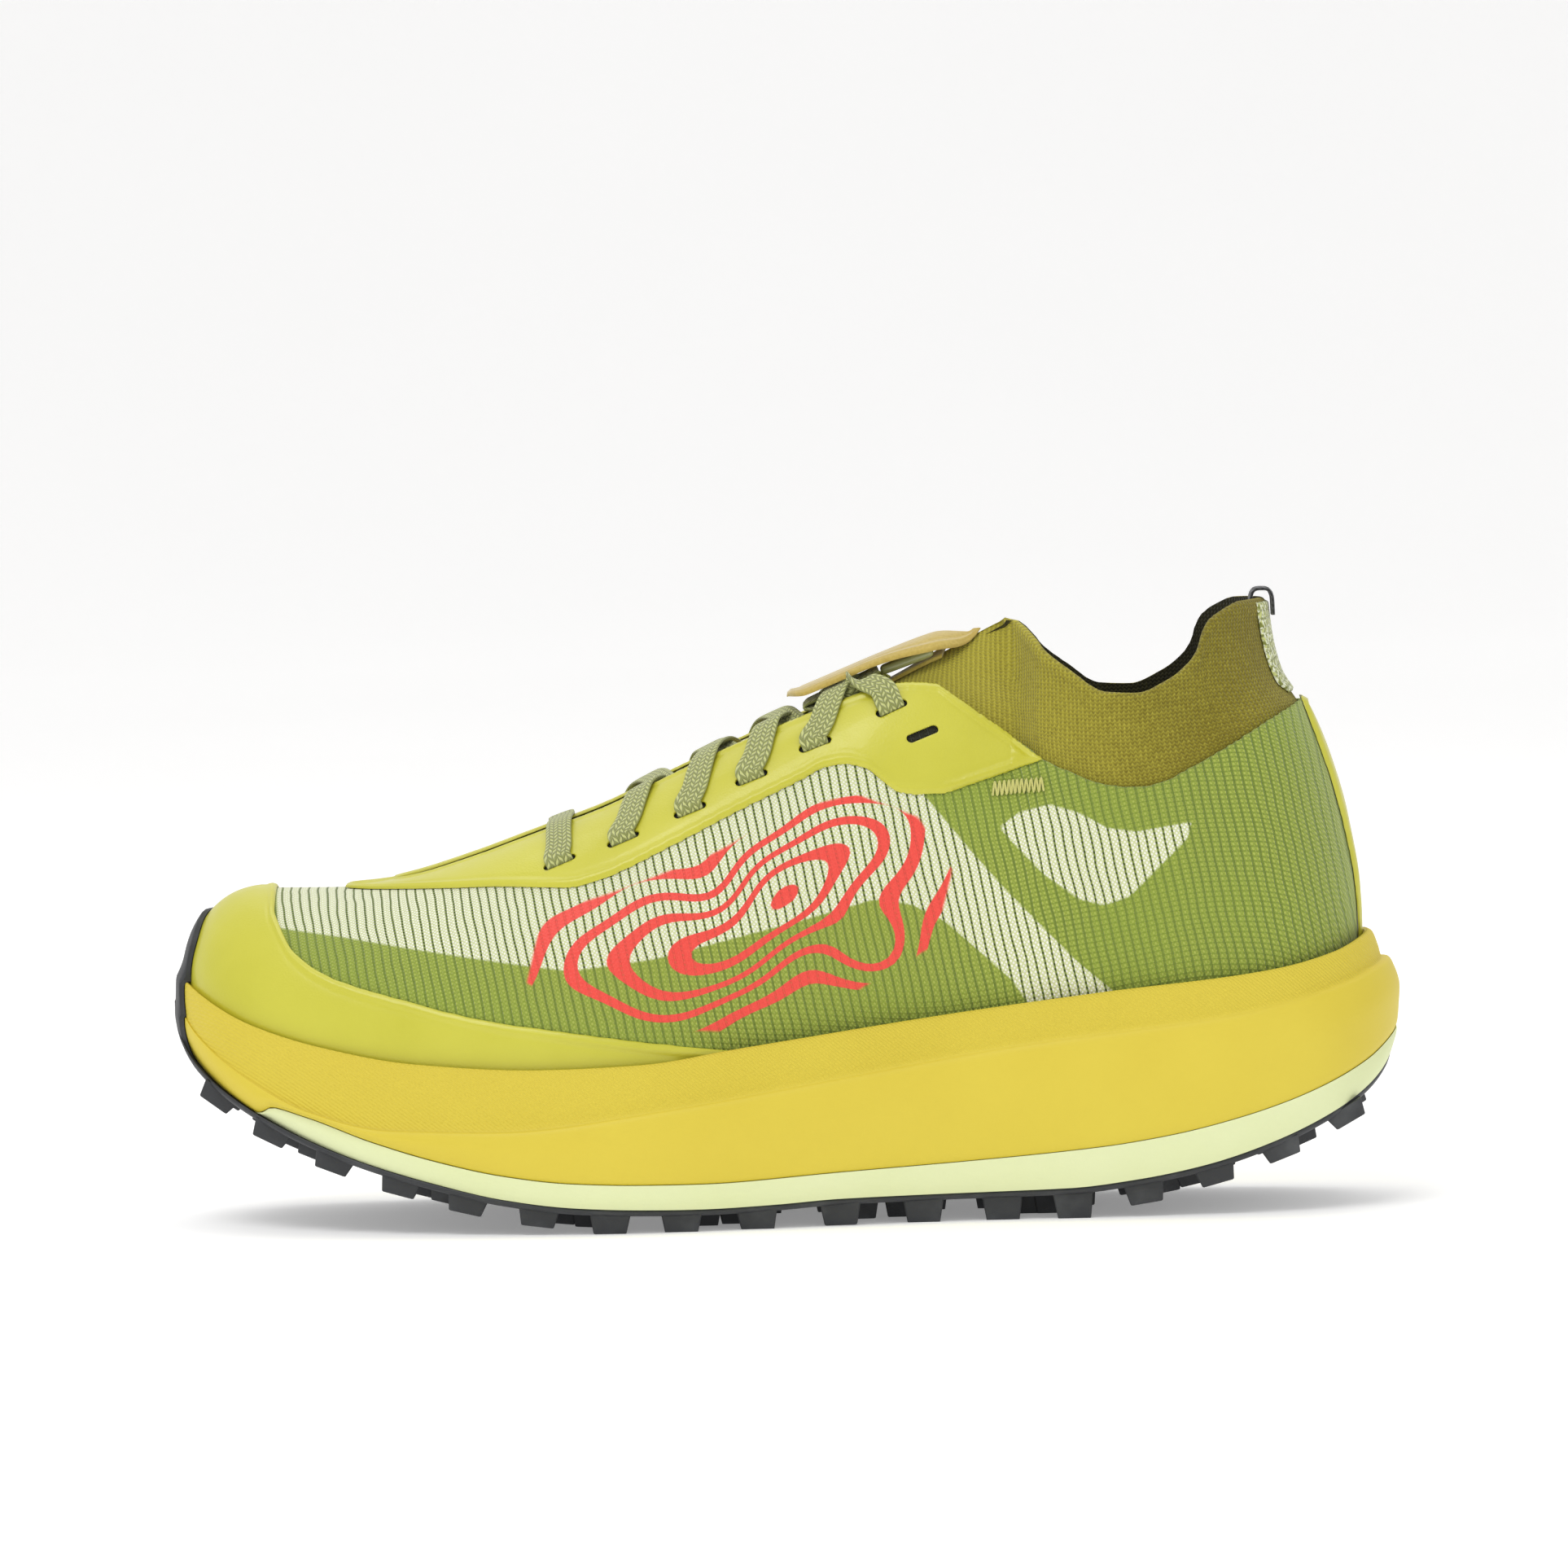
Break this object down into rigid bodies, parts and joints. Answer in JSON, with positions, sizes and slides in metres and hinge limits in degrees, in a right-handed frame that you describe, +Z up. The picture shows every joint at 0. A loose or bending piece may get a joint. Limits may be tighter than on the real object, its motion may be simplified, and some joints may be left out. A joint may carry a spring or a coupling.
{
  "type": "trail running shoe",
  "caption": "Left trail running shoe with a stacked foam midsole, lugged outsole, mesh upper, knit collar, laces and a lifting lace pocket flap.",
  "frame": {"origin": "on the ground, under the middle of the shoe's bounding box", "axes": "+Z up, the toe towards -X, the heel towards +X, the lateral (outer) side towards -Y, the medial side towards +Y"},
  "size_m": [0.2985, 0.1113, 0.1494],
  "materials": {
    "black_rubber": "matt moulded rubber",
    "pale_foam": "matt moulded foam",
    "yellow_foam": "matt moulded foam with a fine skin",
    "board": "non-woven board",
    "insole_foam": "fabric-topped foam",
    "mesh_fabric": "ribbed open mesh, pale over the forefoot",
    "yellow_film": "satin welded film",
    "webbing": "speckled webbing",
    "olive_knit": "heathered ribbed knit",
    "tan_suede": "brushed microfibre",
    "lace_weave": "herringbone woven tape",
    "aglet_film": "clear film over the lace end",
    "tab_webbing": "black woven tape",
    "thread": "dense zigzag stitching"
  },
  "bodies": {
    "shoe": {"outsole": "black_rubber", "midsole_carrier": "pale_foam", "midsole_foam": "yellow_foam", "strobel_board": "board", "upper_mesh": "mesh_fabric", "toe_guard": "yellow_film", "eyestay_lateral": "yellow_film", "eyestay_medial": "yellow_film", "eyestay_backing_lateral": "board", "eyestay_backing_medial": "board", "heel_strip": "yellow_film", "heel_webbing": "webbing", "knit_bootie": "olive_knit", "tongue_panel": "tan_suede", "lace": "lace_weave", "aglet_lateral": "aglet_film", "aglet_medial": "aglet_film", "pull_tab": "tab_webbing", "bartack_lateral": "thread", "bartack_medial": "thread", "heel_counter": "board", "toe_puff": "board", "collar_foam": "insole_foam", "heel_lining": "olive_knit"},
    "flap": {"lace_pocket_flap": "tan_suede"},
    "insole": {"insole": "insole_foam"}
  },
  "joints": [
    {"name": "lace_pocket_hinge", "type": "hinge", "parent": "shoe", "child": "flap", "pos_m": [0.0488, -0.0015, 0.1412], "axis": [0, 1, 0], "range_deg": [0, 50]},
    {"name": "insole_lift", "type": "slide", "parent": "shoe", "child": "insole", "axis": [0, 0, 1], "range_m": [0, 0.006]}
  ]
}
